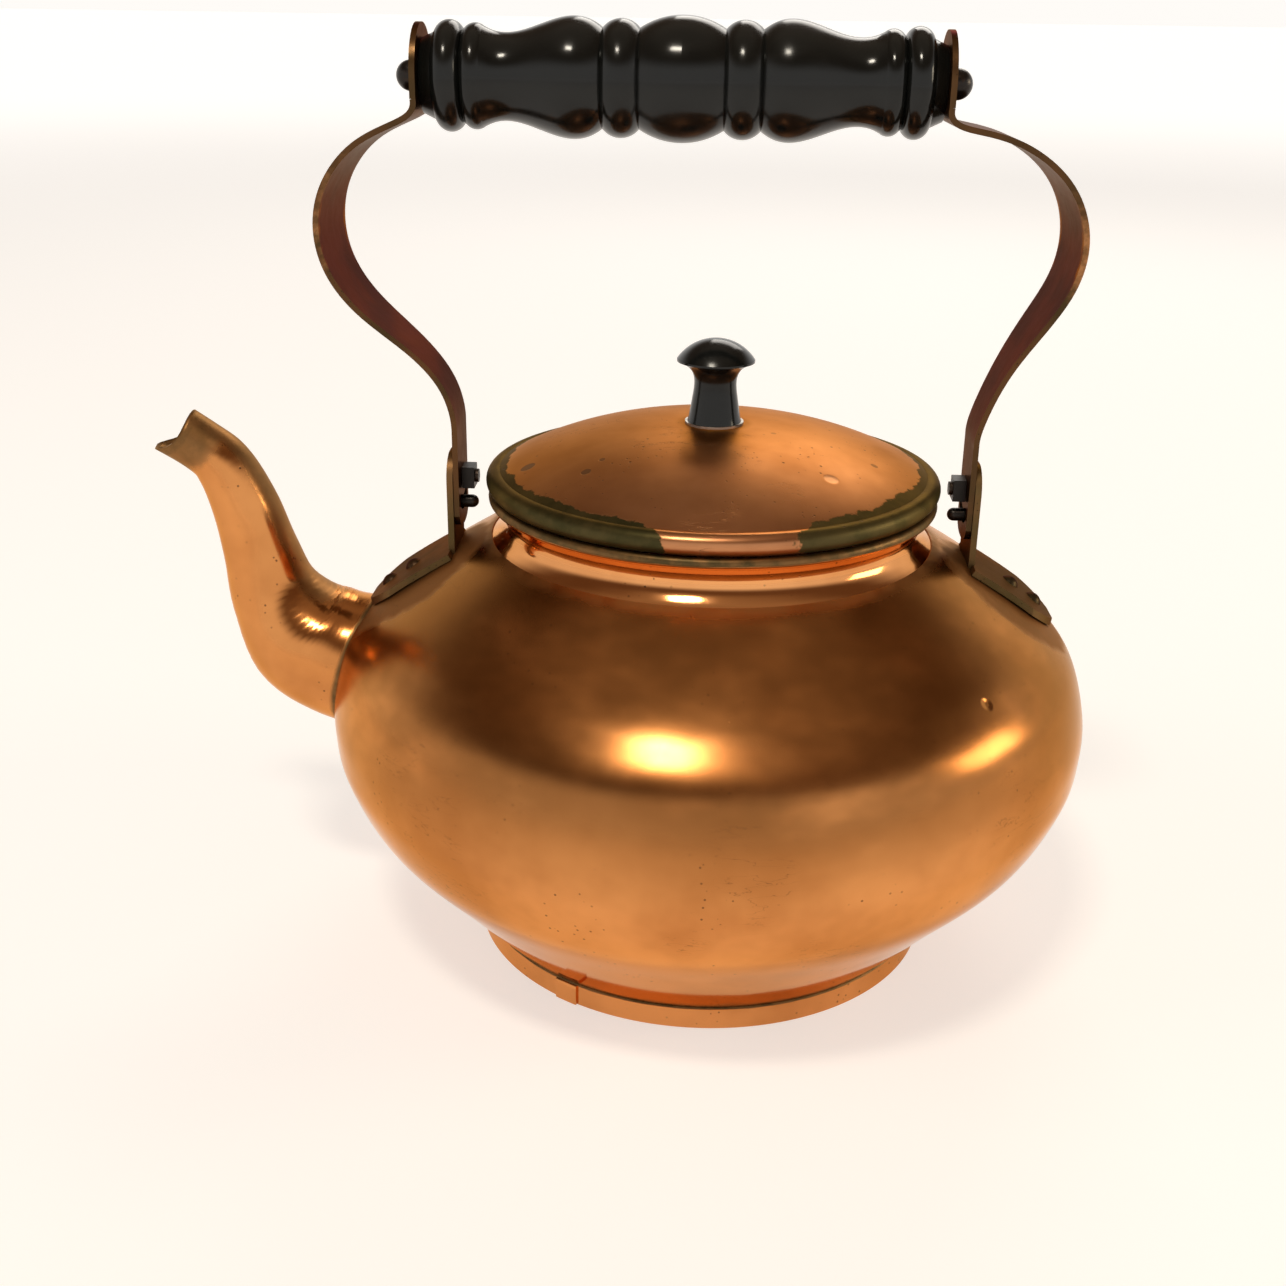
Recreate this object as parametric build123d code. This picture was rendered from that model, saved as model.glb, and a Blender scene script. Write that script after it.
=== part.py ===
from build123d import *
from math import cos, radians, sin, sqrt
import os

# A copper range kettle: a raised round body on a foot ring, a beaked spout, a lift-off lid with a
# knob, and a strap bail with a turned wooden grip that tilts between two shoulder brackets.
# Millimetres. Z is the axis of the body, the foot stands on z = 0 and the spout points to -X.

# Sheet and body
sheet = 1.2
foot_radius = 62.5
foot_height = 6.5
foot_lap_width = 8.0
foot_lap_step = 0.6
base_flange = 5.5
body_low = (78.9, 24.8)
body_flank = (91.6, 39.3)
body_widest = (100.0, 62.0)
body_shoulder = (95.8, 83.0)
body_slope = (80.7, 97.6)
neck_base_radius = 57.4
neck_base_height = 112.2

# Neck
waist_radius = 54.0
waist_rise = 4.8
lip_radius = 58.0
lip_rise = 7.0
lip_roll = 1.4

# Spout: centre line stations as x, z, slope in degrees and outer radius
spout_wall = 1.1
spout_root = (-88.0, 71.0, 4.0, 18.6)
spout_base = (-101.0, 74.3, 22.0, 17.7)
spout_elbow = (-110.3, 80.2, 38.0, 16.6)
spout_throat = (-117.2, 91.0, 62.0, 12.3)
spout_pipe = (-120.4, 103.0, 77.0, 10.0)
spout_neck = (-123.6, 115.4, 71.0, 8.8)
spout_bend = (-128.2, 126.0, 55.0, 7.7)
spout_mouth = (-134.2, 131.7, 38.0, 7.0)
spout_end = (-149.0, 142.4, 36.0, 7.4)
beak_top = (-135.4, 141.0)
beak_notch = (-138.4, 134.6)
beak_tip = (-146.5, 130.8)
spout_hole_radius = 14.5
spout_overrun = 4.0

# Brackets on the shoulder
bracket_sheet = 1.6
bracket_half_width = 12.5
bracket_outer_reach = 89.5
bracket_inner_reach = 67.0
upright_face = 66.7
upright_half_width = 8.0
ear_rise = 6.9
rivet_radius = 1.4
rivet_head_radius = 2.4
rivet_head_height = 1.4
rivet_tail_height = 0.8
rivet_tail_gap = 0.1
rivet_reaches = (78.6, 85.0)

# Bail pivots
pivot_rise = 13.3
pivot_radius = 1.75
pivot_head_radius = 3.25
pivot_head_height = 1.3
nut_across = 5.6
nut_height = 3.2
pivot_tail = 0.9
stop_drop = 7.0
stop_radius = 1.7
stop_reach = 61.2
tilt_limit = 30.0
slot_clearance = 0.15
slot_overtravel = 1.0
running_clearance = 0.05
side_clearance = 0.1

# Bail arms, with the heights of their half widths and of their bends above the pivots
strap_sheet = 1.4
tail_half_width = 7.5
tail_drop = 12.9
tail_rise = 12.5
bail_rise = 98.2
eye_radius = 12.0
eye_drop = 4.7
eye_straight = 1.6
strap_widths = ((32.5, 8.9), (42.5, 11.6), (54.5, 13.4), (69.5, 14.2), (82.5, 13.3))
spout_arm_bends = (
    (-77.8, 87.7),
    (-86.4, 83.2),
    (-94.2, 73.8),
    (-96.5, 64.3),
    (-94.9, 54.6),
    (-88.6, 44.8),
    (-77.6, 34.9),
    (-72.4, 29.7),
    (-68.7, 24.4),
    (-66.7, 19.3),
)
back_arm_bends = (
    (60.0, 88.3),
    (72.6, 83.9),
    (80.8, 76.9),
    (85.8, 63.1),
    (84.2, 53.5),
    (79.0, 43.7),
    (72.7, 33.1),
    (69.2, 25.5),
    (67.0, 19.3),
)

# Grip and rod
grip_centre = -10.05
grip_half_length = 61.5
grip_waist_radius = 14.3
grip_groove = (10.1, 11.4)
grip_bead = (14.8, 13.4)
grip_outer_groove = (18.9, 11.4)
grip_belly = (28.4, 13.5)
grip_hollow = (40.6, 10.0)
grip_ring_start = (47.0, 11.3)
grip_ring = (49.0, 12.0)
grip_ring_end = (51.8, 10.3)
grip_collar = (54.6, 12.6)
grip_end_radius = 8.6
rod_radius = 2.5
cap_radius = 3.6
cap_length = 5.2
thread_depth = 3.4

# Lid
lid_sheet = 1.0
lid_bead = 2.75
lid_wire = 1.6
lid_radius = 58.5
lid_seat_gap = 0.2
lid_edge_lift = 2.25
lid_rise = 12.0
lid_flat = 7.8
lid_clearance = 0.35
flange_lift = 1.2
knob_radius = 9.9
knob_stem = 5.9
knob_foot = 6.9
knob_rise = 21.6
knob_edge_rise = 15.9
knob_edge = 0.5
knob_flare = 2.6
washer_radius = 7.5
washer_height = 0.6
screw_radius = 2.0
screw_head_radius = 4.0
screw_head_height = 2.2
screw_depth = 13.0

ROUND = Plane.XZ
waist_height = neck_base_height + waist_rise
lip_top = waist_height + lip_rise
bead_height = lip_top + lid_seat_gap + lid_bead
lid_edge_height = bead_height + lid_edge_lift
lid_top = lid_edge_height + lid_rise
flange_bottom = neck_base_height + flange_lift
pivot_height = neck_base_height + pivot_rise
upright_top = pivot_height + ear_rise
tail_end = pivot_height - tail_drop
tail_top = pivot_height + tail_rise
grip_height = pivot_height + bail_rise
eye_bottom = grip_height - eye_drop
strap_outer = upright_face - side_clearance
strap_inner = strap_outer - strap_sheet
nut_face = strap_inner - side_clearance


def turn(outline):
    return revolve(outline, Axis.Z)


def tube(outer, inner, low, high):
    ring = Plane.XY.offset(low) * (Circle(outer) - Circle(inner))
    return extrude(ring, high - low)


def rod_along_x(radius, start, end, height):
    base = Plane((min(start, end), 0, height), x_dir=(0, 1, 0), z_dir=(1, 0, 0))
    return extrude(base * Circle(radius), abs(end - start))


def cap_arc(radius, base, height):
    # Half the outline of a round cap, from its top on the axis out to its rim at the base height
    sphere_radius = (radius**2 + height**2) / (2 * height)
    half = radius / 2
    middle_height = height - sphere_radius + sqrt(sphere_radius**2 - half**2)
    return ThreePointArc((0, base + height), (half, base + middle_height), (radius, base))


def round_head(radius, height, shank_radius, length, tail_radius=0.0, tail_height=0.0):
    # A low round head on z = 0 with its shank below, and a flat tail at the shank's end if it has one
    crown = cap_arc(radius, 0, height)
    corners = [(radius, 0), (shank_radius, 0), (shank_radius, -length)]
    if tail_height > 0:
        corners += [(tail_radius, -length), (tail_radius, -length - tail_height)]
    corners += [(0, -length - tail_height), (0, height)]
    return turn(ROUND * make_face(crown + Polyline(*corners)))


def band(path, thickness, count=14):
    # A strip of even thickness along a path in the XZ plane
    left = []
    right = []
    for step in range(count + 1):
        spot = path.position_at(step / count)
        along = path.tangent_at(step / count)
        side = Vector(-along.Z, 0, along.X) * (thickness / 2)
        left.append(spot + side)
        right.append(spot - side)
    edges = [
        Spline(*left),
        Line(left[-1], right[-1]),
        Spline(*right[::-1]),
        Line(right[0], left[0]),
    ]
    return Face(Wire(edges))


def body_curve():
    points = [
        (foot_radius, foot_height),
        body_low,
        body_flank,
        body_widest,
        body_shoulder,
        body_slope,
        (neck_base_radius, neck_base_height),
    ]
    return Spline(*points)


def body_outline():
    # The filled half outline of the body, on which the wall and the bracket plates are built
    corners = [
        (neck_base_radius, neck_base_height),
        (0, neck_base_height),
        (0, foot_height),
        (foot_radius, foot_height),
    ]
    return make_face(body_curve() + Polyline(*corners))


def body_solid():
    return turn(ROUND * body_outline())


def shoulder_spot(reach):
    # Height and outward slope of the shoulder at a distance from the axis
    curve = body_curve()
    low = 0.45
    high = 1.0
    for _ in range(40):
        middle = (low + high) / 2
        if curve.position_at(middle).X > reach:
            low = middle
        else:
            high = middle
    along = curve.tangent_at(middle)
    return curve.position_at(middle).Y, Vector(along.Y, 0, -along.X)


def spout_section(station, thinner=0.0, onward=0.0):
    x, z, slope, radius = station
    along = Vector(-cos(radians(slope)), 0, sin(radians(slope)))
    centre = Vector(x, 0, z) + along * onward
    return Plane(centre, x_dir=(0, 1, 0), z_dir=along) * Circle(radius - thinner)


def make_spout():
    stations = [
        spout_root,
        spout_base,
        spout_elbow,
        spout_throat,
        spout_pipe,
        spout_neck,
        spout_bend,
        spout_mouth,
        spout_end,
    ]
    outside = loft([spout_section(station) for station in stations])
    overrun = [-spout_overrun] + [0] * (len(stations) - 2) + [spout_overrun]
    inside = loft(
        [spout_section(station, spout_wall, onward) for station, onward in zip(stations, overrun)]
    )
    cut_line = Spline(beak_top, beak_notch, beak_tip, tangents=((-0.25, -1), (-1, -0.25)))
    sky = Polyline(
        beak_tip,
        (spout_end[0] - 20, beak_tip[1] - 4),
        (spout_end[0] - 20, spout_end[1] + 20),
        (beak_top[0] + 3, spout_end[1] + 20),
        beak_top,
    )
    mouth = extrude(ROUND * make_face(cut_line + sky), 20, both=True)
    return (outside - inside) - body_solid() - mouth


def make_body():
    filled = body_solid()
    top = filled.faces().sort_by(Axis.Z)[-1]
    wall = offset(filled, -sheet, openings=top)
    drain = Plane.XY.offset(foot_height) * Circle(foot_radius - base_flange)
    wall = wall - extrude(drain, sheet + 1, both=True)
    hole = spout_section(spout_root, spout_root[3] - spout_hole_radius, -spout_root[3])
    return wall - extrude(hole, 2 * spout_root[3])


def make_base_plate():
    plate = Plane.XY.offset(foot_height - sheet) * Circle(foot_radius - sheet)
    return extrude(plate, sheet)


def make_foot_ring():
    ring = tube(foot_radius, foot_radius - sheet, 0, foot_height)
    lap = tube(foot_radius + foot_lap_step, foot_radius - sheet / 2, 0, foot_height)
    lap_place = Pos(-foot_radius / 4, -foot_radius, foot_height / 2)
    lap_block = lap_place * Box(foot_lap_width, foot_radius, foot_height)
    return ring + (lap & lap_block)


def make_neck():
    middle = waist_radius - sheet / 2
    roll_centre = lip_radius - lip_roll
    path = ROUND * Spline(
        (neck_base_radius - sheet / 2 + 0.3, neck_base_height - 1),
        (middle, waist_height),
        (roll_centre - lip_roll / 2, lip_top - 1.6 * lip_roll),
    )
    wall = turn(band(path, sheet))
    lip = turn(ROUND * (Pos(roll_centre, lip_top - lip_roll) * Circle(lip_roll)))
    above = tube(lip_radius + 5, waist_radius / 2, neck_base_height, lip_top + 5)
    return (wall + lip) & above


def bracket_plate(side):
    # The leaf of the bracket follows the shoulder along its middle and is straight across
    points = []
    for step in range(6):
        reach = bracket_inner_reach + (bracket_outer_reach - bracket_inner_reach) * step / 5
        height, outward = shoulder_spot(reach)
        points.append(Vector(reach, 0, height) + outward * (bracket_sheet / 2))
    leaf = extrude(band(Spline(*points), bracket_sheet, 8), bracket_half_width, both=True)
    round_start = bracket_outer_reach - bracket_half_width
    length = round_start - upright_face + bracket_sheet
    from_above = Plane.XY * (
        Pos(round_start, 0) * Circle(bracket_half_width + bracket_sheet)
        + Pos(round_start - length / 2, 0) * Rectangle(length, 2 * bracket_half_width + bracket_sheet)
    )
    leaf = leaf & extrude(from_above, 2 * body_widest[0])
    foot, _ = shoulder_spot(upright_face)
    upright_height = upright_top - foot
    rise = Pos(upright_face + bracket_sheet / 2, 0, foot + upright_height / 2)
    upright = rise * Box(bracket_sheet, 2 * upright_half_width, upright_height)
    crown = upright.edges().filter_by(Axis.X).sort_by(Axis.Z)[-2:]
    upright = fillet(crown, upright_half_width * 0.85)
    bracket = leaf + upright
    if side < 0:
        bracket = mirror(bracket, Plane.YZ)
    return bracket


def rivet_place(reach, side):
    height, outward = shoulder_spot(reach)
    direction = Vector(side * outward.X, 0, outward.Z)
    seat = Vector(side * reach, 0, height) + direction * bracket_sheet
    return Plane(seat, x_dir=(0, 1, 0), z_dir=direction)


def make_rivet(reach, side):
    length = bracket_sheet + sheet + rivet_tail_gap
    head = round_head(
        rivet_head_radius, rivet_head_height, rivet_radius, length, rivet_head_radius, rivet_tail_height
    )
    return rivet_place(reach, side) * head


def rivet_hole(reach, side):
    length = bracket_sheet + sheet + 1
    return rivet_place(reach, side) * (Pos(0, 0, -length / 2) * Cylinder(rivet_radius, 2 * length))


def strap_outline():
    # The width of a bail arm seen along X, as a face in the YZ plane
    start = (tail_half_width, tail_top)
    end = (eye_radius, grip_height)
    widths = [(half, pivot_height + rise) for rise, half in strap_widths]
    edge = Spline(start, *widths, end, tangents=((0, 1), (0, 1)))
    eye = RadiusArc(end, (0, grip_height + eye_radius), -eye_radius)
    tail = Line((tail_half_width, tail_end + tail_half_width / 2), start)
    point = Spline(
        (0, tail_end),
        (tail_half_width, tail_end + tail_half_width / 2),
        tangents=((1, 0), (0.3, 1)),
    )
    middle = Line((0, grip_height + eye_radius), (0, tail_end))
    half = make_face(point + tail + edge + eye + middle)
    return Plane.YZ * (half + mirror(half, Plane.YZ))


def make_arm(side, bends):
    low_x = side * (strap_outer - strap_sheet / 2)
    eye_x = grip_centre + side * (grip_half_length + side_clearance + strap_sheet / 2)
    turns = [(reach, pivot_height + rise) for reach, rise in bends]
    path = ROUND * Spline(
        (eye_x, eye_bottom),
        (eye_x, eye_bottom - eye_straight),
        *turns,
        (low_x, tail_top + eye_straight),
        (low_x, tail_top),
    )
    side_view = band(path, strap_sheet, 34)
    wide = 2 * eye_radius
    strip = extrude(side_view, wide, both=True)
    eye_length = grip_height + eye_radius + 1 - eye_bottom
    strip += Pos(eye_x, 0, eye_bottom + eye_length / 2) * Box(strap_sheet, 2 * wide, eye_length)
    tail_length = tail_top - tail_end + 1
    strip += Pos(low_x, 0, tail_top - tail_length / 2) * Box(strap_sheet, 2 * wide, tail_length)
    arm = strip & extrude(strap_outline(), 150, both=True)
    near = side * (strap_inner - 1)
    far = side * (strap_outer + 1)
    arm -= rod_along_x(pivot_radius + running_clearance, near, far, pivot_height)
    arm -= stop_slot(near, far)
    return arm - rod_along_x(rod_radius, eye_x - 2, eye_x + 2, grip_height)


def stop_slot(near, far):
    # The stop stud travels in this curved slot under the pivot
    width = stop_radius + slot_clearance
    half_angle = radians(tilt_limit + slot_overtravel)
    across = stop_drop * sin(half_angle)
    down = -stop_drop * cos(half_angle)
    ring = Circle(stop_drop + width) - Circle(stop_drop - width)
    wedge = make_face(Polyline((0, 0), (-2 * across, 2 * down), (2 * across, 2 * down), (0, 0)))
    slot = ring & wedge
    slot += Pos(-across, down) * Circle(width)
    slot += Pos(across, down) * Circle(width)
    start = Plane((min(near, far), 0, pivot_height), x_dir=(0, 1, 0), z_dir=(1, 0, 0))
    return extrude(start * slot, abs(far - near))


def make_pivot_screw(side):
    seat = upright_face + bracket_sheet
    length = seat - nut_face + nut_height + pivot_tail
    screw = round_head(pivot_head_radius, pivot_head_height, pivot_radius, length)
    place = Plane((side * seat, 0, pivot_height), x_dir=(0, 1, 0), z_dir=(side, 0, 0))
    return place * screw


def make_pivot_nut(side):
    centre = side * (nut_face - nut_height / 2)
    nut = Pos(centre, 0, pivot_height) * Box(nut_height, nut_across, nut_across)
    return nut - rod_along_x(pivot_radius, centre - nut_height, centre + nut_height, pivot_height)


def make_stop_stud(side):
    level = pivot_height - stop_drop
    tip = stop_reach + stop_radius
    shank = rod_along_x(stop_radius, side * tip, side * (upright_face + bracket_sheet), level)
    return shank + Pos(side * tip, 0, level) * Sphere(stop_radius)


def make_grip():
    right = [
        RadiusArc((0, grip_waist_radius), grip_groove, 19),
        ThreePointArc(grip_groove, grip_bead, grip_outer_groove),
        Spline(grip_outer_groove, grip_belly, grip_hollow, grip_ring_start),
        ThreePointArc(grip_ring_start, grip_ring, grip_ring_end),
        ThreePointArc(grip_ring_end, grip_collar, (grip_half_length - 3, grip_end_radius + 1.4)),
        Line((grip_half_length - 3, grip_end_radius + 1.4), (grip_half_length, grip_end_radius)),
        Line((grip_half_length, grip_end_radius), (grip_half_length, 0)),
        Line((grip_half_length, 0), (0, 0)),
        Line((0, 0), (0, grip_waist_radius)),
    ]
    half = revolve(ROUND * make_face(right), Axis.X)
    whole = half + mirror(half, Plane.YZ)
    bore = rod_along_x(rod_radius + running_clearance, -grip_half_length - 1, grip_half_length + 1, 0)
    return Pos(grip_centre, 0, grip_height) * (whole - bore)


def rod_ends():
    reach = grip_half_length + side_clearance + strap_sheet
    return grip_centre - reach, grip_centre + reach


def make_grip_rod():
    left, right = rod_ends()
    return rod_along_x(rod_radius, left - thread_depth, right + thread_depth, grip_height)


def make_rod_nut(side):
    face = rod_ends()[0 if side < 0 else 1]
    shoulder = cap_length - cap_radius
    reach = cap_radius * sin(radians(45))
    crown = ThreePointArc((0, cap_length), (reach, shoulder + reach), (cap_radius, shoulder))
    corners = Polyline(
        (cap_radius, shoulder),
        (cap_radius, 0),
        (rod_radius, 0),
        (rod_radius, thread_depth),
        (0, thread_depth),
        (0, cap_length),
    )
    place = Plane((face, 0, grip_height), x_dir=(0, 1, 0), z_dir=(side, 0, 0))
    return place * turn(ROUND * make_face(crown + corners))


def dome_outline(drop):
    # The region under the lid's crown, lowered by the sheet for the inside
    top = lid_top - drop
    edge = (lid_radius - lid_bead, lid_edge_height - drop)
    rise = top - edge[1]
    run = edge[0] - lid_flat
    crown_radius = (run**2 + rise**2) / (2 * rise)
    middle_run = run / 2
    middle = (lid_flat + middle_run, top - crown_radius + sqrt(crown_radius**2 - middle_run**2))
    return make_face(
        [
            Line((0, top), (lid_flat, top)),
            ThreePointArc((lid_flat, top), middle, edge),
            Line(edge, (edge[0], lid_edge_height - 40)),
            Line((edge[0], lid_edge_height - 40), (0, lid_edge_height - 40)),
            Line((0, lid_edge_height - 40), (0, top)),
        ]
    )


def bead_circle(radius):
    return Pos(lid_radius - lid_bead, bead_height) * Circle(radius)


def make_lid_cover():
    above_edge = Pos(lid_radius / 2, lid_edge_height + 20 - lid_sheet) * Rectangle(lid_radius + 10, 40)
    crown = (dome_outline(0) - dome_outline(lid_sheet)) & above_edge
    crown += bead_circle(lid_bead)
    cover = turn(ROUND * (crown - bead_circle(lid_wire)))
    hole = Plane.XY.offset(lid_top - 5) * Circle(screw_radius)
    return cover - extrude(hole, 10)


def make_lid_wire():
    return turn(ROUND * bead_circle(lid_wire))


def make_lid_flange():
    outer = waist_radius - sheet - lid_clearance
    skirt = tube(outer, outer - lid_sheet, flange_bottom, lid_top)
    return skirt & turn(ROUND * dome_outline(lid_sheet))


def make_washer():
    return tube(washer_radius, screw_radius, lid_top, lid_top + washer_height)


def make_knob():
    foot = lid_top + washer_height
    edge = lid_top + knob_edge_rise
    brim = edge + knob_edge
    outline = [
        Line((0, foot), (knob_foot, foot)),
        Spline(
            (knob_foot, foot),
            (knob_stem, foot + 0.35 * (edge - foot)),
            (knob_stem + 0.2, edge - knob_flare),
            (knob_radius, edge),
            tangents=((-0.3, 1), (1, 0.3)),
        ),
        Line((knob_radius, edge), (knob_radius, brim)),
        cap_arc(knob_radius, brim, lid_top + knob_rise - brim),
        Line((0, lid_top + knob_rise), (0, foot)),
    ]
    knob = turn(ROUND * make_face(outline))
    hole = Plane.XY.offset(foot) * Circle(screw_radius)
    return knob - extrude(hole, screw_depth)


def make_knob_screw():
    under = lid_top - lid_sheet
    head = Plane.XY.offset(under - screw_head_height) * Circle(screw_head_radius)
    screw = extrude(head, screw_head_height)
    crown = screw.edges().sort_by(Axis.Z)[0]
    screw = fillet(crown, screw_head_height * 0.6)
    shank = Plane.XY.offset(under) * Circle(screw_radius)
    return screw + extrude(shank, lid_sheet + washer_height + screw_depth)


def make_shoulder_group():
    # Body, brackets and rivets share the rivet holes
    body = make_body()
    brackets = {-1: bracket_plate(-1), 1: bracket_plate(1)}
    rivets = []
    for side in (-1, 1):
        for reach in rivet_reaches:
            hole = rivet_hole(reach, side)
            body -= hole
            brackets[side] -= hole
            rivets.append(make_rivet(reach, side))
        near = side * (upright_face - 1)
        far = side * (upright_face + bracket_sheet + 1)
        brackets[side] -= rod_along_x(pivot_radius, near, far, pivot_height)
        brackets[side] -= rod_along_x(stop_radius, near, far, pivot_height - stop_drop)
    return body, brackets, rivets


def largest(shape):
    return shape.solids().sort_by(SortBy.VOLUME)[-1]


def build():
    body, brackets, rivets = make_shoulder_group()
    return {
        "kettle_body": largest(body),
        "base_plate": make_base_plate(),
        "foot_ring": make_foot_ring(),
        "neck_collar": make_neck(),
        "spout": largest(make_spout()),
        "spout_side_bracket": largest(brackets[-1]),
        "back_bracket": largest(brackets[1]),
        "bracket_rivets": Compound(children=rivets),
        "pivot_screws": Compound(children=[make_pivot_screw(-1), make_pivot_screw(1)]),
        "pivot_nuts": Compound(children=[make_pivot_nut(-1), make_pivot_nut(1)]),
        "stop_studs": Compound(children=[make_stop_stud(-1), make_stop_stud(1)]),
        "spout_side_arm": largest(make_arm(-1, spout_arm_bends)),
        "back_arm": largest(make_arm(1, back_arm_bends)),
        "grip_rod": make_grip_rod(),
        "rod_nuts": Compound(children=[make_rod_nut(-1), make_rod_nut(1)]),
        "grip": make_grip(),
        "lid_cover": largest(make_lid_cover()),
        "lid_rim_wire": make_lid_wire(),
        "lid_flange": largest(make_lid_flange()),
        "knob": make_knob(),
        "knob_washer": make_washer(),
        "knob_screw": make_knob_screw(),
    }


os.makedirs("parts", exist_ok=True)
for name, shape in build().items():
    export_step(shape, f"parts/{name}.step")
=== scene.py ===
import bmesh
import bpy
from math import cos, pi, radians, sin, sqrt
from mathutils import Matrix, Vector


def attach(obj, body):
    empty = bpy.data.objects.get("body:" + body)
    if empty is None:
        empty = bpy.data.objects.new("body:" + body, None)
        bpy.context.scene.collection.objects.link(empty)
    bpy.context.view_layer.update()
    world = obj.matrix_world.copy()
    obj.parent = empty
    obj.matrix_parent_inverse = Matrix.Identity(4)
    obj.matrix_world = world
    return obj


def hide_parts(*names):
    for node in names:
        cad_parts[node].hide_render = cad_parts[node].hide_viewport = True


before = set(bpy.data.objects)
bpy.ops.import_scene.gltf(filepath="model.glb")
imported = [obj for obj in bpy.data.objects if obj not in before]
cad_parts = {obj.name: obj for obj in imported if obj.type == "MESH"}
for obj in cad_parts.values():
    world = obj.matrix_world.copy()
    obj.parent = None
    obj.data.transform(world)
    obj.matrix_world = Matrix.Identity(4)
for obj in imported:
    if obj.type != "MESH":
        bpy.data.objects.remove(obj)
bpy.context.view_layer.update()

# The studio: a pale floor, a warm lamp above and in front, a softer one on the right, two that
# only fill the shadows, and a room that is dim higher up, so that polished metal has something
# to mirror. The camera stands in front, above the lid, and looks down at the kettle.
right = Vector((0.99865, 0.05010, 0.01354))
up = Vector((-0.03146, 0.37695, 0.92570))
back = right.cross(up)
camera_data = bpy.data.cameras.new("camera")
camera_data.sensor_width = 36
camera_data.lens = 43.49
camera_data.clip_start = 0.02
camera_data.clip_end = 60
camera = bpy.data.objects.new("camera", camera_data)
turned = Matrix((right, up, back)).transposed().to_4x4()
camera.matrix_world = Matrix.Translation((0, -0.39051, 0.23916)) @ turned
bpy.context.scene.collection.objects.link(camera)
bpy.context.scene.camera = camera
bpy.context.scene.view_settings.view_transform = "Standard"


def add_lamp(name, spot, target, size, power, colour, mirrored=True):
    data = bpy.data.lights.new(name, "AREA")
    data.shape = "RECTANGLE"
    data.size, data.size_y = size
    data.energy = power
    data.color = colour
    lamp = bpy.data.objects.new(name, data)
    lamp.location = spot
    lamp.rotation_euler = (Vector(target) - Vector(spot)).to_track_quat("-Z", "Y").to_euler()
    lamp.visible_camera = False
    lamp.visible_glossy = mirrored
    bpy.context.scene.collection.objects.link(lamp)


add_lamp("lamp_above", (-0.20, -0.62, 1.25), (0, 0, 0.1), (0.24, 0.14), 6, (1.0, 0.92, 0.78))
add_lamp("lamp_right", (1.45, 0.02, 0.52), (0, 0, 0.1), (0.55, 0.40), 6, (1.0, 0.86, 0.62))
add_lamp("lamp_left", (-1.5, -0.5, 1.0), (0, 0, 0.1), (0.9, 0.6), 4, (1.0, 0.95, 0.88), False)
add_lamp("lamp_back", (0.3, 1.4, 1.1), (0, 0, 0.1), (0.9, 0.6), 6, (1.0, 0.95, 0.88))


class Field:
    """A value that changes over a surface, with the sums that are done on it."""

    def __init__(self, nodes, socket):
        self.nodes, self.socket = nodes, socket

    def sum(self, operation, *values):
        return self.nodes.make("ShaderNodeMath", {"operation": operation}, dict(enumerate(values)))

    def __add__(self, other):
        return self.sum("ADD", self, other)

    def __sub__(self, other):
        return self.sum("SUBTRACT", self, other)

    def __rsub__(self, other):
        return self.sum("SUBTRACT", other, self)

    def __mul__(self, other):
        return self.sum("MULTIPLY", self, other)

    __radd__ = __add__
    __rmul__ = __mul__

    def root(self):
        return self.sum("SQRT", self)

    def size(self):
        return self.sum("ABSOLUTE", self)

    def most(self, other):
        return self.sum("MAXIMUM", self, other)

    def rise(self, low, high):
        """0 up to low and 1 from high on, with a soft step between; it falls if low is above high."""
        settings = {"interpolation_type": "SMOOTHSTEP", "clamp": True}
        inputs = {"Value": self, "From Min": min(low, high), "From Max": max(low, high)}
        step = self.nodes.make("ShaderNodeMapRange", settings, inputs)
        return 1 - step if low > high else step


class Nodes:
    """The nodes of one material or of the world."""

    def __init__(self, tree):
        self.tree = tree

    def make(self, kind, settings=None, inputs=None, output=0):
        node = self.tree.nodes.new(kind)
        for name, value in (settings or {}).items():
            setattr(node, name, value)
        for name, value in (inputs or {}).items():
            self.put(node, name, value)
        return Field(self, node.outputs[output])

    def put(self, node, name, value):
        socket = node.inputs[name]
        if isinstance(value, Field):
            self.tree.links.new(value.socket, socket)
        elif isinstance(value, tuple) and len(value) < len(socket.default_value):
            socket.default_value = (*value, 1)
        else:
            socket.default_value = value

    def mix(self, part, first, second):
        inputs = {"Factor": part, 6: first, 7: second}
        return self.make("ShaderNodeMix", {"data_type": "RGBA"}, inputs, 2)


world = bpy.data.worlds.new("room")
bpy.context.scene.world = world
world.use_nodes = True
room = Nodes(world.node_tree)
way = room.make("ShaderNodeTexCoord")
height = room.make("ShaderNodeSeparateXYZ", None, {0: way}, 2)
dim = room.mix(height.rise(0.30, 0.62), (1.0, 0.97, 0.93), (0.15, 0.095, 0.060))
dim = room.mix(height.rise(0.72, 0.95), dim, (0.34, 0.26, 0.19))
room.put(world.node_tree.nodes["Background"], "Color", dim)
room.put(world.node_tree.nodes["Background"], "Strength", 1.0)

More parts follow.
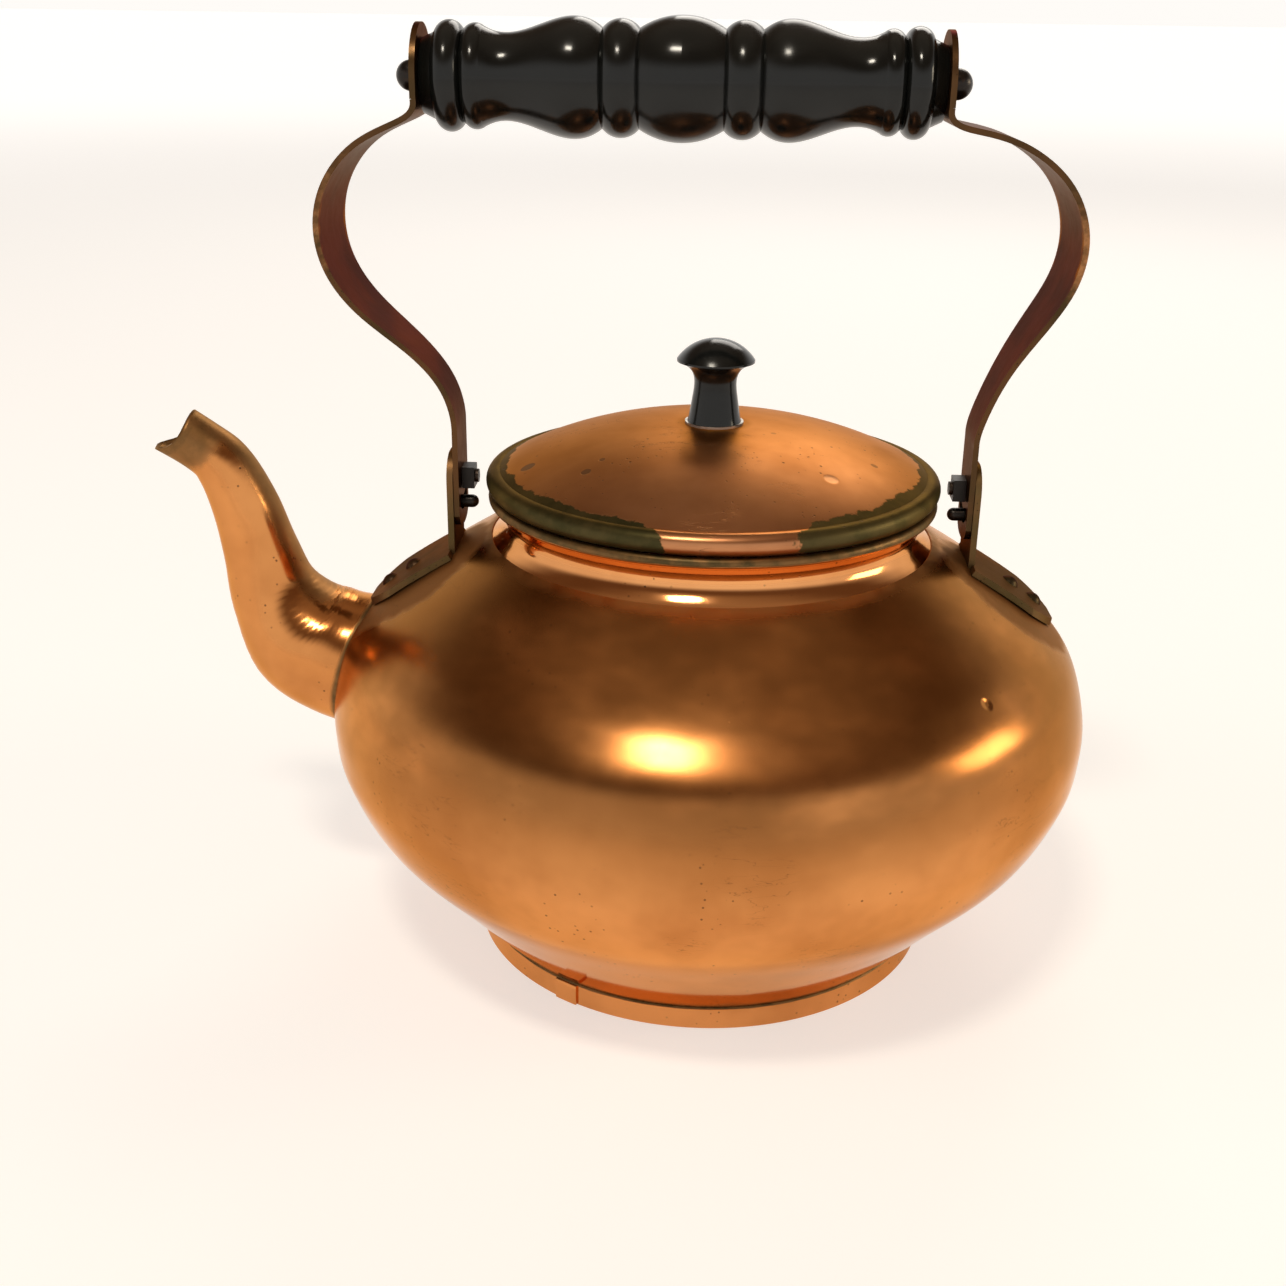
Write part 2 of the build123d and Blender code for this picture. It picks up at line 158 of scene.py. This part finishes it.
sweep_mesh = bmesh.new()
bmesh.ops.create_grid(sweep_mesh, x_segments=8, y_segments=8, size=45)
sweep_data = bpy.data.meshes.new("floor")
sweep_mesh.to_mesh(sweep_data)
sweep_mesh.free()
sweep = bpy.data.objects.new("floor", sweep_data)
bpy.context.scene.collection.objects.link(sweep)
pale = bpy.data.materials.new("pale_floor")
pale.use_nodes = True
sweep_data.materials.append(pale)
floor_nodes = Nodes(pale.node_tree)
floor_shader = pale.node_tree.nodes["Principled BSDF"]
floor_nodes.put(floor_shader, "Base Color", (0.60, 0.585, 0.565))
floor_nodes.put(floor_shader, "Roughness", 0.9)
floor_nodes.put(floor_shader, "Specular IOR Level", 0.2)
ground = floor_nodes.make("ShaderNodeTexCoord", None, None, "Object")
far = floor_nodes.make("ShaderNodeVectorMath", {"operation": "LENGTH"}, {0: ground}, 1)
glow = floor_nodes.mix(far.rise(0.5, 4.5), (0.98, 0.965, 0.94), (1.55, 1.53, 1.49))
floor_nodes.put(floor_shader, "Emission Color", glow)
path = floor_nodes.make("ShaderNodeLightPath")
seen = path
for other in (3, 6):
    ray = Field(floor_nodes, path.socket.node.outputs[other])
    seen = seen.most(ray)
floor_nodes.put(floor_shader, "Emission Strength", seen * 0.54)


# Kettle body: one copper sheet, raised and planished to a wide round belly over a small foot,
# with a turned-in flange at the bottom and a round mouth at the top for the neck.
# The upper half is hazy from handling and old polish, the lower half still mirrors the table.
sheet = 0.0012
foot_height = 0.0065
base_flange = 0.057
belly = [
    (0.0625, 0.0065),
    (0.0658, 0.0102),
    (0.0789, 0.0248),
    (0.0916, 0.0393),
    (0.0984, 0.0530),
    (0.1000, 0.0620),
    (0.0996, 0.0710),
    (0.0958, 0.0830),
    (0.0884, 0.0915),
    (0.0807, 0.0976),
    (0.0690, 0.1053),
    (0.0574, 0.1122),
]


def smooth_line(points, each=6):
    """More points on a smooth curve through the given ones."""
    line = [Vector(point) for point in points]
    ends = [2 * line[0] - line[1]] + line + [2 * line[-1] - line[-2]]
    made = []
    for first, start, end, last in zip(ends, ends[1:], ends[2:], ends[3:]):
        for step in range(each):
            t = step / each
            made.append(
                (
                    2 * start
                    + (end - first) * t
                    + (2 * first - 5 * start + 4 * end - last) * t * t
                    + (3 * start - first - 3 * end + last) * t * t * t
                )
                / 2
            )
    return made + [line[-1]]


def beside(line, distance):
    """The same line moved sideways, to the left of its direction."""
    moved = []
    for number, spot in enumerate(line):
        before = line[max(number - 1, 0)]
        after = line[min(number + 1, len(line) - 1)]
        along = (after - before).normalized()
        moved.append(spot + Vector((-along.y, along.x)) * distance)
    return moved


def spun(outline, steps=160, closed=True):
    """A turned form: an outline of radius and height, spun about the upright axis."""
    form = bmesh.new()
    spots = [form.verts.new((spot[0], 0, spot[1])) for spot in outline]
    pairs = list(zip(spots, spots[1:]))
    if closed:
        pairs.append((spots[-1], spots[0]))
    edges = [form.edges.new(pair) for pair in pairs]
    bmesh.ops.spin(
        form,
        geom=spots + edges,
        cent=(0, 0, 0),
        axis=(0, 0, 1),
        angle=2 * pi,
        steps=steps,
        use_merge=True,
    )
    bmesh.ops.remove_doubles(form, verts=form.verts, dist=1e-6)
    bmesh.ops.recalc_face_normals(form, faces=form.faces)
    return form


def finish_piece(form, name, body, nodes, material, sharp=35):
    """Turns a form into a named piece that rides on its body."""
    mesh = bpy.data.meshes.new(name)
    form.to_mesh(mesh)
    form.free()
    mesh.polygons.foreach_set("use_smooth", [True] * len(mesh.polygons))
    mesh.set_sharp_from_angle(angle=radians(sharp))
    mesh.materials.append(material)
    piece = bpy.data.objects.new(name, mesh)
    bpy.context.scene.collection.objects.link(piece)
    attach(piece, body)
    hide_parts(*nodes)
    return piece


class Finish(Nodes):
    """A metal or lacquer finish, with the fields that its wear is made from."""

    def __init__(self, name):
        self.material = bpy.data.materials.new(name)
        self.material.use_nodes = True
        super().__init__(self.material.node_tree)
        self.shader = self.tree.nodes["Principled BSDF"]
        self.place = self.make("ShaderNodeTexCoord", None, None, "Object")
        parts = self.make("ShaderNodeSeparateXYZ", None, {0: self.place})
        self.x, self.y, self.z = (Field(self, parts.socket.node.outputs[n]) for n in range(3))
        self.reach = (self.x * self.x + self.y * self.y).root()

    def set(self, **values):
        for name, value in values.items():
            self.put(self.shader, name.replace("_", " "), value)

    def cloud(self, scale, detail=3, rough=0.55, stretch=None):
        place = self.place
        if stretch:
            inputs = {0: place, 1: stretch}
            place = self.make("ShaderNodeVectorMath", {"operation": "MULTIPLY"}, inputs)
        inputs = {"Vector": place, "Scale": scale, "Detail": detail, "Roughness": rough}
        return self.make("ShaderNodeTexNoise", None, inputs)

    def specks(self, scale, size):
        cells = self.make("ShaderNodeTexVoronoi", None, {"Vector": self.place, "Scale": scale})
        few = self.cloud(scale * 0.13, 1).rise(0.52, 0.62)
        return cells.rise(size, size * 0.5) * few

    def near(self, spot, inner, outer):
        inputs = {0: self.place, 1: spot}
        far = self.make("ShaderNodeVectorMath", {"operation": "DISTANCE"}, inputs, 1)
        return far.rise(outer, inner)

    def relief(self, height):
        """Raises the surface by a height in metres."""
        inputs = {"Height": height, "Distance": 1.0, "Strength": 1.0}
        bump = self.make("ShaderNodeBump", None, inputs)
        self.put(self.shader, "Normal", bump)


fresh_copper = (0.72, 0.30, 0.095)
worn_copper = (0.50, 0.185, 0.052)


def copper(name, darkening=None, haze=0.0, bright=fresh_copper, deep=worn_copper, wobble=0.00006):
    """Old polished copper; the darkening mask gives its stains, and painted shade on some pieces;
    haze makes it satin.
    """
    finish = Finish(name)
    cloud = finish.cloud(22, 4)
    fine = finish.cloud(150, 5, 0.65)
    colour = finish.mix(cloud.rise(0.36, 0.70), bright, deep)
    pits = finish.specks(420, 0.16)
    colour = finish.mix(pits * 0.75, colour, (0.10, 0.045, 0.02))
    roughness = 0.085 + haze * (0.75 + cloud * 0.5) + fine * 0.05
    if darkening is not None:
        mask = darkening(finish, fine)
        shade = finish.mix(fine.rise(0.35, 0.65), (0.085, 0.058, 0.024), (0.20, 0.105, 0.040))
        colour = finish.mix(mask, colour, shade)
        roughness = roughness + mask * 0.32
        finish.set(Metallic=1 - mask * 0.15, Specular_IOR_Level=0.25)
    else:
        finish.set(Metallic=1.0)
    finish.set(Base_Color=colour, Roughness=roughness, Specular_Tint=(0.95, 0.75, 0.55))
    waves = finish.cloud(38, 2) * wobble + finish.cloud(900, 2) * 0.0000012 - pits * 0.00002
    finish.relief(waves)
    return finish


def belly_tarnish_and_painted_shade(finish, fine):
    ragged = fine * 0.5 + finish.cloud(60, 3) * 0.5
    neck_line = finish.reach.rise(0.0612, 0.0575) * finish.z.rise(0.100, 0.106)
    # Round the two ear brackets the belly is darkened: partly dark patina, partly painted shade under
    # the brackets.
    left_ear = finish.near((-0.078, -0.004, 0.100), 0.016, 0.034)
    right_ear = finish.near((0.078, -0.004, 0.100), 0.014, 0.032)
    ears = left_ear.most(right_ear)
    # A ragged band darker towards the bottom, on the underside above the foot: partly patina, partly
    # painted shade.
    under = finish.z.rise(0.016, 0.007)
    stain_and_painted_shade = (ears * 1.25 - 1 + ragged * 1.3).rise(0.30, 0.75)
    foot_line = (under - 1 + ragged * 1.2).rise(0.30, 0.80) * 0.6
    return stain_and_painted_shade.most(neck_line * ragged.rise(0.35, 0.6) * 0.8).most(foot_line)


def belly_finish():
    finish = copper("belly_copper", belly_tarnish_and_painted_shade)
    rough = finish.shader.inputs["Roughness"].links[0].from_socket
    hazy = finish.z.rise(0.052, 0.086) * (0.6 + finish.cloud(16, 4, 0.6) * 0.8)
    finish.set(Roughness=Field(finish, rough) + hazy * 0.17 - 0.03)
    plain = Field(finish, finish.shader.inputs["Base Color"].links[0].from_socket)
    # The upper half is darkened to brown: partly a thin brown patina, partly painted shade on the top
    # of the belly.
    film_and_painted_shade = hazy * finish.cloud(13, 4, 0.6, (1.0, 1.0, 2.2)).rise(0.28, 0.58) * 0.9
    colour = finish.mix(film_and_painted_shade, plain, (0.25, 0.098, 0.028))
    stretched = finish.cloud(52, 4, 0.6, (0.8, 1.0, 4.0))
    scratch = (stretched - 0.5).size().rise(0.005, 0.001) * finish.cloud(23, 2).rise(0.56, 0.64)
    finish.set(Base_Color=finish.mix(scratch * 0.5, colour, (0.14, 0.055, 0.02)))
    dents = [
        ((0.0560, -0.0640, 0.0975), 0.0016),
        ((0.0650, -0.0600, 0.0915), 0.0014),
        ((0.0740, -0.0520, 0.0925), 0.0012),
    ]
    relief = finish.cloud(30, 2) * 0.00017 + finish.cloud(900, 2) * 0.0000012
    for spot, size in dents:
        relief = relief - finish.near(spot, size * 0.3, size * 1.4) * 0.00022
    finish.relief(relief)
    return finish.material


outer = smooth_line(belly)
inner = beside(outer, sheet)
inner = [spot for spot in inner if spot.y > foot_height + sheet]
flange = [
    Vector((inner[0].x, foot_height + sheet)),
    Vector((base_flange, foot_height + sheet)),
    Vector((base_flange, foot_height)),
]
form = spun(outer + inner[::-1] + flange, 200)
finish_piece(form, "belly", "kettle", ["kettle_body"], belly_finish())


# Base plate and foot ring: a flat copper disc brazed under the body, inside a plain band of
# sheet whose ends lap over each other at the front left. The band carries the kettle.
def base_tarnish(finish, fine):
    return (fine * 0.6 + finish.cloud(30, 3) * 0.5).rise(0.40, 0.62)


base_finish = copper("base_copper", base_tarnish, 0.12)
disc = [(0, 0.0053), (0.0611, 0.0053), (0.0613, 0.0055), (0.0613, 0.0065), (0, 0.0065)]
form = spun(disc, 96, closed=False)
finish_piece(form, "base_disc", "kettle", ["base_plate"], base_finish.material)


def foot_tarnish_and_painted_shade(finish, fine):
    ragged = fine * 0.5 + finish.cloud(80, 3) * 0.5
    # The top of the band, under the belly's bulge, is darkened: partly patina, partly painted shade.
    return (finish.z.rise(0.0045, 0.0068) * 0.8 - 0.55 + ragged).rise(0.30, 0.62)


foot_finish = copper("foot_copper", foot_tarnish_and_painted_shade, 0.05)
foot = [
    (0.0613, 0.0003),
    (0.0616, 0.0),
    (0.0622, 0.0),
    (0.0625, 0.0003),
    (0.0625, 0.0058),
    (0.0628, 0.0062),
    (0.0626, 0.0065),
    (0.0613, 0.0065),
]
finish_piece(spun(foot, 192), "foot_band", "kettle", [], foot_finish.material)
lap = bmesh.new()
bmesh.ops.create_cube(lap, size=1)
long_edges = [edge for edge in lap.edges if abs((edge.verts[0].co - edge.verts[1].co).x) > 0.5]
bmesh.ops.subdivide_edges(lap, edges=long_edges, cuts=8)
lap_middle = -pi / 2 - 0.565
lap_length = 0.105
for spot in lap.verts:
    angle = lap_middle + spot.co.x * lap_length
    reach = 0.06275 + spot.co.y * 0.0009
    spot.co = (cos(angle) * reach, sin(angle) * reach, 0.00315 + spot.co.z * 0.0058)
bmesh.ops.recalc_face_normals(lap, faces=lap.faces)
bmesh.ops.bevel(
    lap, geom=lap.edges, offset=0.0002, segments=2, profile=0.5, affect="EDGES", material=-1
)
finish_piece(lap, "foot_lap", "kettle", ["foot_ring"], foot_finish.material)


# Neck: a spun collar of brighter copper, soldered into the mouth of the body, waisted so that
# the lid's skirt slides into it, with its top edge rolled outwards over itself.
def neck_tarnish_and_painted_shadow(finish, fine):
    ragged = fine * 0.5 + finish.cloud(70, 3) * 0.5
    # The rolled top edge is darkened where it sits under the lid's bead: painted shadow, broken up
    # with ragged patina.
    lip = finish.z.rise(0.1212, 0.1232) * 0.9
    return (lip - 0.45 + ragged).rise(0.32, 0.62)


neck_bright = (0.80, 0.36, 0.135)
neck_deep = (0.60, 0.24, 0.08)
neck_finish = copper("neck_copper", neck_tarnish_and_painted_shadow, 0.0, neck_bright, neck_deep, 0.00002)
waist = [
    (0.0578, 0.1116),
    (0.0563, 0.1129),
    (0.0546, 0.1150),
    (0.0540, 0.1172),
    (0.0549, 0.1198),
    (0.0567, 0.1218),
]
wall = smooth_line(waist, 5)
roll_middle = Vector((0.0566, 0.1226))
roll_radius = 0.0014
roll_angles = [radians(degrees) for degrees in range(-60, 221, 20)]
roll = [roll_middle + Vector((cos(angle), sin(angle))) * roll_radius for angle in roll_angles]
lining = beside(wall, sheet)[:-2]
collar_outline = wall + roll + lining[::-1]
form = spun(collar_outline, 192)
finish_piece(form, "neck", "kettle", ["neck_collar"], neck_finish.material)


# Spout: a copper tube, wide at the belly and drawn in to a slim pipe, bent in an S and cut
# at the end to a beak with a long lower lip. Solder runs round its root and has gone dark.
spout_line = [
    (-0.0880, 0.0710, 0.0186),
    (-0.1010, 0.0743, 0.0177),
    (-0.1103, 0.0802, 0.0166),
    (-0.1172, 0.0910, 0.0123),
    (-0.1204, 0.1030, 0.0100),
    (-0.1236, 0.1154, 0.0088),
    (-0.1282, 0.1260, 0.0077),
    (-0.1342, 0.1317, 0.0070),
    (-0.1490, 0.1408, 0.0074),
]
spout_spots = smooth_line(spout_line, 12)
spout_reach = len(spout_spots) - 1


def spout_point(along, angle):
    """A point of the tube's skin; angle 0 is the upper side and pi the lower."""
    number = min(max(along, 0.0), spout_reach - 0.001)
    low = int(number)
    part = number - low
    spot = spout_spots[low].lerp(spout_spots[low + 1], part)
    before = spout_spots[max(low - 2, 0)]
    after = spout_spots[min(low + 3, spout_reach)]
    ahead = (after - before).xy.normalized()
    above = Vector((ahead.y, -ahead.x))
    if above.y < 0:
        above = -above
    across = spot.z * sin(angle)
    raised = spot.z * cos(angle)
    return Vector((spot.x + above.x * raised, across, spot.y + above.y * raised))


def belly_radius(height):
    for first, second in zip(outer, outer[1:]):
        if first.y <= height <= second.y:
            return first.x + (second.x - first.x) * (height - first.y) / (second.y - first.y)
    return 0.0


def root_start(angle):
    number = 0.0
    while number < 30:
        spot = spout_point(number, angle)
        if sqrt(spot.x**2 + spot.y**2) > belly_radius(spot.z) - 0.0008:
            return number
        number += 0.05
    return number


beak = [
    (-0.1354, 0.1410),
    (-0.1370, 0.1368),
    (-0.1396, 0.1335),
    (-0.1430, 0.1315),
    (-0.1488, 0.1303),
]
mouth_line = smooth_line(beak, 6)


def mouth_end(angle):
    """How far along the tube its skin reaches at this angle, up to the line of the beak."""
    number = 60.0
    while number < spout_reach - 0.01:
        spot = spout_point(number, angle)
        for first, second in zip(mouth_line, mouth_line[1:]):
            if second.y <= spot.z <= first.y:
                part = (first.y - spot.z) / max(first.y - second.y, 1e-9)
                if spot.x <= first.x + (second.x - first.x) * part:
                    return number
        if spot.z > mouth_line[0].y or spot.x < mouth_line[-1].x:
            return number
        number += 0.05
    return number


around = 64
starts = [root_start(2 * pi * step / around) for step in range(around + 1)]
ends = [mouth_end(2 * pi * step / around) for step in range(around + 1)]
form = bmesh.new()
root_tag = form.verts.layers.float.new("from_root")
tip_tag = form.verts.layers.float.new("from_tip")
bmesh.ops.create_grid(form, x_segments=around, y_segments=120, size=0.5)
for spot in form.verts:
    step = round((spot.co.x + 0.5) * around)
    share = spot.co.y + 0.5
    spot[root_tag] = share
    spot[tip_tag] = 1 - share
    along = starts[step] + (ends[step] - starts[step]) * share
    spot.co = spout_point(along, 2 * pi * step / around)
bmesh.ops.remove_doubles(form, verts=form.verts, dist=1e-6)
bmesh.ops.recalc_face_normals(form, faces=form.faces)
if sum(face.normal.y * face.calc_center_median().y for face in form.faces) < 0:
    bmesh.ops.reverse_faces(form, faces=form.faces)


def spout_tarnish_and_painted_shade(finish, fine):
    ragged = fine * 0.5 + finish.cloud(70, 3) * 0.5
    root = finish.make("ShaderNodeAttribute", {"attribute_name": "from_root"}, None, 2)
    tip = finish.make("ShaderNodeAttribute", {"attribute_name": "from_tip"}, None, 2)
    solder = root.rise(0.028, 0.012)
    edge = tip.rise(0.05, 0.015)
    # The side facing up and towards the belly is darkened near the root: painted shade, broken up
    # with ragged patina.
    up_side = finish.make("ShaderNodeNewGeometry", None, None, 1)
    parts = finish.make("ShaderNodeSeparateXYZ", None, {0: up_side})
    backward, upward = (Field(finish, parts.socket.node.outputs[number]) for number in (0, 2))
    facing = backward * 0.8 + upward * 0.6
    painted_shade_on_top = facing.rise(0.45, 0.98) * root.rise(0.05, 0.30)
    stain_and_painted_shade = (painted_shade_on_top * 0.75 - 0.5 + ragged).rise(0.30, 0.85) * 0.8
    lip = (tip.rise(0.22, 0.05) * 0.8 - 0.5 + ragged).rise(0.35, 0.8) * 0.8
    return stain_and_painted_shade.most(solder * 0.92).most(edge * 0.85).most(lip)


spout_finish = copper("spout_copper", spout_tarnish_and_painted_shade, 0.06)
spout = finish_piece(form, "spout_tube", "kettle", ["spout"], spout_finish.material)
thickness = spout.modifiers.new("wall", "SOLIDIFY")
thickness.thickness = 0.0011
thickness.offset = -1


# Brackets: a rounded leaf of copper sheet is riveted flat on each shoulder, and a narrower ear
# of the same sheet stands up from it to hold the bail. They are never polished and gone brown.
def dress(node, material):
    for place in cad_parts[node].material_slots:
        place.material = material


def aged_copper(name, bare, haze=0.20, green=(0.115, 0.080, 0.032), brown=(0.20, 0.105, 0.044)):
    """Copper left to darken; bare is a mask of where handling keeps it bright."""
    finish = Finish(name)
    fine = finish.cloud(260, 5, 0.65)
    ragged = fine * 0.5 + finish.cloud(75, 3) * 0.5
    crust = finish.mix(finish.cloud(45, 3).rise(0.38, 0.62), green, brown)
    crust = finish.mix(finish.specks(900, 0.22) * 0.8, crust, (0.03, 0.020, 0.012))
    rubbed = (bare(finish) - 0.5 + ragged).rise(0.42, 0.78)
    colour = finish.mix(rubbed, crust, (0.52, 0.235, 0.095))
    finish.set(Base_Color=colour, Metallic=0.90 + rubbed * 0.10, Specular_IOR_Level=0.25)
    finish.set(Specular_Tint=(0.42, 0.27, 0.15))
    finish.set(Roughness=haze + 0.16 + fine * 0.16 - rubbed * 0.14)
    finish.relief(fine * 0.00005 + finish.cloud(1100, 2) * 0.000008)
    return finish.material


def bracket_wear(finish):
    return finish.z.rise(0.102, 0.096) * 0.42


bracket_finish = aged_copper("bracket_copper", bracket_wear, 0.24)
dress("spout_side_bracket", bracket_finish)
dress("back_bracket", bracket_finish)


# Rivets: two round-headed copper rivets hold each leaf, set from inside the body and black with
# old dirt round their heads.
def rivet_wear(finish):
    return finish.z.rise(0.1015, 0.103) * 0.4


rivet_green = (0.050, 0.036, 0.020)
rivet_brown = (0.075, 0.040, 0.022)
rivet_finish = aged_copper("rivet_copper", rivet_wear, 0.16, rivet_green, rivet_brown)
dress("bracket_rivets", rivet_finish)


# Pivot screws, their nuts and the stop studs: dark iron, oiled by years of soot. The screw turns
# in the ear, its square nut keeps the arm on, and the stud below stops the bail from falling over.
def dark_iron(name, colour=(0.022, 0.019, 0.017), shine=0.34):
    finish = Finish(name)
    fine = finish.cloud(600, 4, 0.6)
    rust = (finish.cloud(160, 4, 0.65)).rise(0.56, 0.70)
    finish.set(Base_Color=finish.mix(rust, colour, (0.060, 0.030, 0.016)), Metallic=0.75)
    finish.set(Roughness=shine + fine * 0.14 + rust * 0.2)
    finish.relief(fine * 0.00002)
    return finish.material


pivot_finish = dark_iron("pivot_iron", (0.040, 0.026, 0.018))
dress("pivot_screws", pivot_finish)
nut_finish = dark_iron("nut_iron")
dress("pivot_nuts", nut_finish)
stud_finish = dark_iron("stud_iron", (0.026, 0.021, 0.018), 0.30)
dress("stop_studs", stud_finish)


# Bail arms: two straps of copper, narrow at the ear, widened to the middle and bent in an S, with
# a round eye for the rod at the top. Hands have rubbed the bows brown and the edges brighter.
def arm_wear(finish):
    side = finish.y.size()
    edge = side.rise(0.0095, 0.0135) * 0.30
    low = finish.z.rise(0.172, 0.150) * 0.34
    bow = finish.z.rise(0.165, 0.185) * finish.z.rise(0.215, 0.195) * 0.24
    return edge + low + bow


arm_finish = aged_copper("arm_copper", arm_wear, 0.08, (0.060, 0.038, 0.017), (0.110, 0.052, 0.022))
dress("spout_side_arm", arm_finish)
dress("back_arm", arm_finish)


# Grip rod and its cap nuts: an iron rod runs through both eyes and the grip, closed at each end
# by a domed cap nut, all blackened.
rod_finish = dark_iron("rod_iron", (0.020, 0.018, 0.017), 0.36)
dress("grip_rod", rod_finish)
cap_finish = dark_iron("cap_iron", (0.020, 0.016, 0.014), 0.22)
dress("rod_nuts", cap_finish)


# Grip: turned hardwood under black lacquer, with beads, grooves and a stepped collar at each end.
# Hands have dulled the lacquer on the bellies, and dust lies in the grooves.
def black_lacquer(name, axis, grain=0.0):
    finish = Finish(name)
    fine = finish.cloud(500, 4, 0.6)
    broad = finish.cloud(38, 3)
    streaks = finish.cloud(60, 4, 0.6, axis)
    colour = finish.mix(streaks.rise(0.5, 0.8), (0.0055, 0.0060, 0.0055), (0.0135, 0.0120, 0.0095))
    finish.set(Base_Color=colour, Metallic=0.0, Specular_IOR_Level=0.32)
    finish.set(Roughness=0.11 + broad.rise(0.35, 0.75) * 0.12 + fine * 0.06)
    finish.relief(streaks * grain + broad * 0.00002)
    return finish.material


grip_finish = black_lacquer("grip_lacquer", (0.12, 1.0, 1.0), 0.00004)
dress("grip", grip_finish)


# Lid cover: one copper sheet, raised to a low dome and rolled over a wire at the rim. Satin from
# rubbing, chipped and scratched, with a dark olive crust left on the bead except at the front.
def lid_copper():
    finish = Finish("lid_copper")
    fine = finish.cloud(240, 5, 0.68)
    cloud = finish.cloud(26, 4, 0.6)
    broad = finish.cloud(11, 3)
    colour = finish.mix(cloud.rise(0.34, 0.70), (0.55, 0.245, 0.108), (0.40, 0.165, 0.072))
    colour = finish.mix(broad.rise(0.50, 0.72) * 0.5, colour, (0.46, 0.182, 0.088))
    ragged = fine * 0.35 + finish.cloud(95, 4, 0.6) * 0.65
    rim = finish.reach.rise(0.0495, 0.0560)
    away = (finish.x - 0.004).size().rise(0.006, 0.026)
    front = finish.y.rise(-0.030, -0.046)
    crust = (rim * (1 - front + front * away) * 1.1 - 1.05 + ragged * 1.9).rise(0.44, 0.54)
    mottle = finish.cloud(120, 4).rise(0.36, 0.64)
    shade = finish.mix(mottle, (0.048, 0.042, 0.016), (0.084, 0.064, 0.025))
    chips = finish.specks(300, 0.13).most(finish.specks(560, 0.16) * 0.8)
    stretched = finish.cloud(46, 4, 0.6, (1.0, 5.0, 5.0))
    scratch = (stretched - 0.5).size().rise(0.006, 0.001) * finish.cloud(34, 2).rise(0.55, 0.64)
    spots = [
        (-0.0305, -0.0285, 0.0017, 0.8),
        (-0.0270, -0.0238, 0.0011, 0.7),
        (-0.0462, -0.0158, 0.0026, 0.85),
        (0.0400, -0.0150, 0.0013, 0.6),
        (0.0150, -0.0080, 0.0010, 0.5),
    ]
    dark = chips.most(scratch * 0.7)
    for x, y, size, depth in spots:
        far = ((finish.x - x) * (finish.x - x) + (finish.y - y) * (finish.y - y)).root()
        dark = dark.most((far.rise(size, size * 0.4) - 0.4 + ragged * 0.8).rise(0.3, 0.6) * depth)
    smudge = finish.near((0.0, -0.0115, 0.1405), 0.0020, 0.0110) * cloud.rise(0.30, 0.60)
    smudge = smudge.most(finish.reach.rise(0.0105, 0.0078) * 0.55)
    pale = finish.near((0.0285, -0.0300, 0.1360), 0.0016, 0.0021)
    colour = finish.mix(smudge * 0.8, colour, (0.15, 0.050, 0.018))
    colour = finish.mix(pale * 0.55, colour, (0.86, 0.45, 0.23))
    colour = finish.mix(crust, colour, shade)
    colour = finish.mix(dark * 0.85, colour, (0.055, 0.032, 0.016))
    finish.set(Base_Color=colour, Metallic=1 - crust * 0.15 - dark * 0.3, Specular_IOR_Level=0.25)
    finish.set(Specular_Tint=(0.75, 0.52, 0.34))
    finish.set(Roughness=0.30 + cloud * 0.12 + fine * 0.06 + crust * 0.14 - rim * 0.08)
    shape = cloud * 0.00012 + finish.cloud(900, 2) * 0.000004 - dark * 0.00004 - crust * 0.00002
    shape = shape - finish.near((0.0285, -0.0300, 0.1360), 0.0008, 0.0024) * 0.00016
    finish.relief(shape)
    return finish.material


lid_finish = lid_copper()
dress("lid_cover", lid_finish)


# Rim wire and flange: the wire lies inside the rolled bead, and the skirt that centres the lid
# in the neck is a plain band of thin copper soldered under the dome.
wire_finish = dark_iron("wire_iron", (0.050, 0.036, 0.028), 0.45)
dress("lid_rim_wire", wire_finish)
flange_finish = copper("flange_copper", lambda finish, fine: fine.rise(0.46, 0.66) * 0.7, 0.14)
dress("lid_flange", flange_finish.material)


# Knob: turned from the same black wood as the grip, a plain stem under a thin mushroom cap, on a
# bright washer and held by a screw from inside the lid.
knob_finish = black_lacquer("knob_lacquer", (1.0, 1.0, 0.15), 0.00002)
dress("knob", knob_finish)


# Washer and screw: a thin washer of plain steel, worn bright, and a dull round-headed screw.
def worn_steel(name, colour, shine):
    finish = Finish(name)
    fine = finish.cloud(700, 4, 0.6)
    dull = finish.cloud(200, 3).rise(0.45, 0.70)
    finish.set(Base_Color=finish.mix(dull, colour, (0.22, 0.19, 0.16)), Metallic=1.0)
    finish.set(Roughness=shine + fine * 0.12 + dull * 0.12)
    finish.relief(fine * 0.00001)
    return finish.material


washer_finish = worn_steel("washer_steel", (0.58, 0.55, 0.50), 0.26)
dress("knob_washer", washer_finish)
screw_finish = worn_steel("screw_steel", (0.30, 0.27, 0.24), 0.34)
dress("knob_screw", screw_finish)
